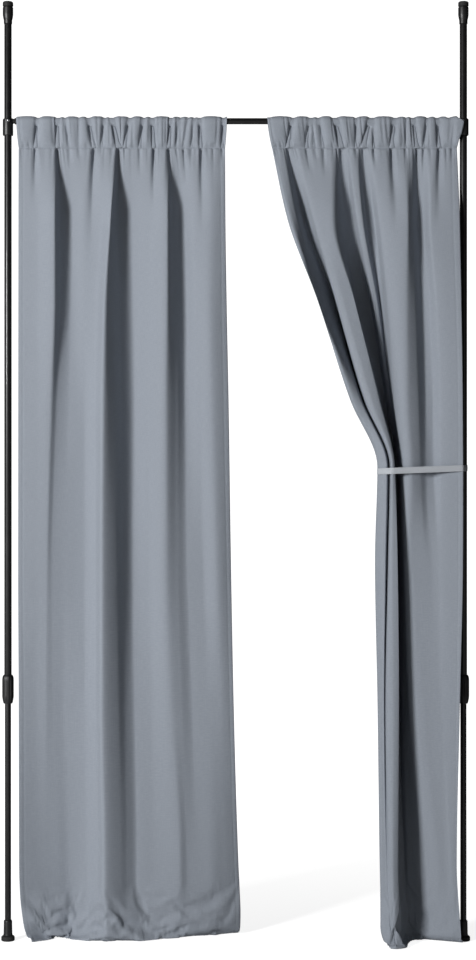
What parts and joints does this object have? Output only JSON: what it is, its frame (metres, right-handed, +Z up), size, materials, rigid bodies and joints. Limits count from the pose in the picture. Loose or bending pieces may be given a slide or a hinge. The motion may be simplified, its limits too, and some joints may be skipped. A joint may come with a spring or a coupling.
{
  "type": "curtain room divider",
  "caption": "Floor-to-ceiling tension-pole room divider: telescoping poles, a clamped cross rod and rod-pocket curtain panels, the left hanging straight and the right held by a tie-back.",
  "frame": {"origin": "centre of the left foot's underside, on the floor", "axes": "+X from the left pole to the right pole, -Y towards the room the curtains face, +Z up"},
  "size_m": [1.218, 0.1759, 2.438],
  "materials": {
    "black_steel": "satin",
    "black_plastic": "satin",
    "black_rubber": "matte",
    "natural_nylon": "satin",
    "bright_steel": "satin",
    "curtain_fabric": "matte",
    "tieback_fabric": "matte",
    "hook_and_loop_tape": "matte"
  },
  "bodies": {
    "left_stand": {"left_foot_pad": "black_rubber", "left_foot_sleeve": "black_plastic", "left_lower_tube": "black_steel", "left_guide_bush": "natural_nylon"},
    "left_mast": {"left_upper_tube": "black_steel", "left_lock_collet": "natural_nylon", "left_spring_stop": "black_plastic", "left_cap_spring": "bright_steel"},
    "left_lock": {"left_lock_collar": "black_plastic"},
    "left_cap": {"left_plunger_cap": "black_plastic", "left_ceiling_pad": "black_rubber"},
    "left_screw": {"left_clamp_screw": "bright_steel"},
    "right_stand": {"right_foot_pad": "black_rubber", "right_foot_sleeve": "black_plastic", "right_lower_tube": "black_steel", "right_guide_bush": "natural_nylon"},
    "right_mast": {"right_upper_tube": "black_steel", "right_lock_collet": "natural_nylon", "right_spring_stop": "black_plastic", "right_cap_spring": "bright_steel"},
    "right_lock": {"right_lock_collar": "black_plastic"},
    "right_cap": {"right_plunger_cap": "black_plastic", "right_ceiling_pad": "black_rubber"},
    "right_screw": {"right_clamp_screw": "bright_steel"},
    "rod_outer": {"left_bracket": "black_plastic", "left_rod_end": "black_plastic", "rod_outer_tube": "black_steel", "rod_outer_bush": "natural_nylon"},
    "rod_inner": {"rod_inner_tube": "black_steel", "rod_inner_bush": "natural_nylon", "right_rod_end": "black_plastic", "right_bracket": "black_plastic", "right_pocket": "curtain_fabric", "right_panel": "curtain_fabric", "tieback_band": "tieback_fabric", "tieback_loop_patch": "hook_and_loop_tape", "tieback_hook_patch": "hook_and_loop_tape"},
    "left_heading": {"left_pocket": "curtain_fabric"},
    "left_drop": {"left_panel": "curtain_fabric"}
  },
  "joints": [
    {"name": "pole_height", "type": "slide", "parent": "left_stand", "child": "left_mast", "axis": [0, 0, 1], "range_m": [0, 0.5]},
    {"name": "rod_height", "type": "slide", "parent": "left_mast", "child": "rod_outer", "axis": [0, 0, 1], "range_m": [0, 0.23]},
    {"name": "rod_width", "type": "slide", "parent": "rod_outer", "child": "rod_inner", "axis": [1, 0, 0], "range_m": [-0.06, 0.4]},
    {"name": "right_pole_slide", "type": "slide", "parent": "rod_inner", "child": "right_mast", "axis": [0, 0, 1], "range_m": [-0.23, 0]},
    {"name": "right_foot_slide", "type": "slide", "parent": "right_mast", "child": "right_stand", "axis": [0, 0, 1], "range_m": [-0.5, 0]},
    {"name": "left_heading_slide", "type": "slide", "parent": "rod_outer", "child": "left_heading", "axis": [1, 0, 0], "range_m": [0, 0.095]},
    {"name": "left_panel_swing", "type": "hinge", "parent": "left_heading", "child": "left_drop", "pos_m": [0.2955, 0, 2.058], "axis": [1, 0, 0], "range_deg": [-8, 8]},
    {"name": "left_lock_twist", "type": "hinge", "parent": "left_mast", "child": "left_lock", "pos_m": [0, 0, 0.65], "axis": [0, 0, 1], "range_deg": [0, 120]},
    {"name": "left_cap_spring_travel", "type": "slide", "parent": "left_mast", "child": "left_cap", "axis": [0, 0, 1], "range_m": [-0.012, 0.01], "stiffness_N_per_m": 2000, "deforming": ["left_cap_spring"]},
    {"name": "left_clamp_turn", "type": "hinge", "parent": "rod_outer", "child": "left_screw", "pos_m": [0.00297, -0.01399, 2.128], "axis": [0.2079, -0.9781, 0], "range_deg": [0, 360]},
    {"name": "right_lock_twist", "type": "hinge", "parent": "right_mast", "child": "right_lock", "pos_m": [1.183, 0, 0.65], "axis": [0, 0, 1], "range_deg": [0, 120]},
    {"name": "right_cap_spring_travel", "type": "slide", "parent": "right_mast", "child": "right_cap", "axis": [0, 0, 1], "range_m": [-0.012, 0.01], "stiffness_N_per_m": 2000, "deforming": ["right_cap_spring"]},
    {"name": "right_clamp_turn", "type": "hinge", "parent": "rod_inner", "child": "right_screw", "pos_m": [1.18003, -0.01399, 2.128], "axis": [-0.2079, -0.9781, 0], "range_deg": [0, 360]}
  ],
  "couplings": [
    {"joint": "right_pole_slide", "follows": "rod_height", "ratio": -1},
    {"joint": "right_foot_slide", "follows": "pole_height", "ratio": -1}
  ]
}
